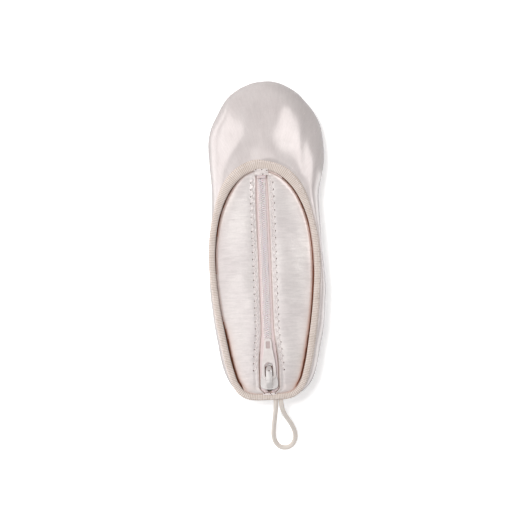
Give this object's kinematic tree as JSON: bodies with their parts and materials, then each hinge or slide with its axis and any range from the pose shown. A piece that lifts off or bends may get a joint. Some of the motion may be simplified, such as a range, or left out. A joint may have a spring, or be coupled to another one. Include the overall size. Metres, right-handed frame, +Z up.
{
  "type": "ballet slipper zip pouch",
  "caption": "Zip pouch shaped like a ballet slipper, in padded satin, with a zip across the foot opening and a hanging loop at the heel.",
  "frame": {"origin": "on the standing surface, under the middle of the pouch's box without its hanging loop", "axes": "+Z up, +Y from heel to toe, +X to the right when seen from above with the toe away"},
  "size_m": [0.0742, 0.2383, 0.0522],
  "materials": {
    "satin": "pale pink satin, soft sheen along the cloth",
    "panel_satin": "pale pink slub satin, fine lines across the zip",
    "lining": "thin matt lining cloth",
    "foam": "soft foam interlining",
    "board": "stiff fibre board",
    "sole_suede": "brushed pink-beige suede",
    "binding_tape": "cream-beige ribbed tape, folded",
    "loop_cord": "cream-beige fabric tube",
    "thread": "pale twisted sewing thread",
    "zip_tape": "woven pale pink tape",
    "zip_coil": "pale pink nylon coil",
    "zip_stop": "pale pink moulded stop",
    "slider_metal": "pale silver die casting, satin plated",
    "spring_metal": "spring steel strip",
    "pull_enamel": "pale pink enamel on metal"
  },
  "bodies": {
    "pouch": {"outsole": "sole_suede", "sole_board": "board", "sole_lining": "lining", "upper_satin": "satin", "upper_padding": "foam", "upper_lining": "lining", "heel_seam_stitches": "thread", "throat_binding": "binding_tape", "binding_stitches": "thread", "heel_loop": "loop_cord", "zip_tack_toe": "thread", "zip_tack_heel": "thread", "bottom_stop": "zip_stop"},
    "lip_left": {"panel_left": "panel_satin", "panel_lining_left": "lining", "zip_tape_left": "zip_tape", "zip_coil_left": "zip_coil", "topstitch_left": "thread", "top_stop_left": "zip_stop"},
    "lip_right": {"panel_right": "panel_satin", "panel_lining_right": "lining", "zip_tape_right": "zip_tape", "zip_coil_right": "zip_coil", "topstitch_right": "thread", "top_stop_right": "zip_stop"},
    "slider": {"slider_body": "slider_metal", "slider_cap": "slider_metal", "lock_spring": "spring_metal"},
    "pull": {"pull_tab": "pull_enamel"}
  },
  "joints": [
    {"name": "slider_travel", "type": "slide", "parent": "pouch", "child": "slider", "axis": [0, 1, 0], "range_m": [0, 0.116]},
    {"name": "pull_flip", "type": "hinge", "parent": "slider", "child": "pull", "pos_m": [0, -0.0872, 0.0499], "axis": [1, 0, 0], "range_deg": [0, 170]},
    {"name": "lip_left_open", "type": "hinge", "parent": "pouch", "child": "lip_left", "pos_m": [-0.0315, 0, 0.0462], "axis": [0, -1, 0], "range_deg": [0, 40], "deforming": ["zip_tape_left", "zip_coil_left"]},
    {"name": "lip_right_open", "type": "hinge", "parent": "pouch", "child": "lip_right", "pos_m": [0.0315, 0, 0.0462], "axis": [0, 1, 0], "range_deg": [0, 40], "deforming": ["zip_tape_right", "zip_coil_right"]}
  ],
  "couplings": [
    {"joint": "lip_left_open", "follows": "slider_travel", "rad_per_m": 5.9},
    {"joint": "lip_right_open", "follows": "slider_travel", "rad_per_m": 5.9}
  ]
}
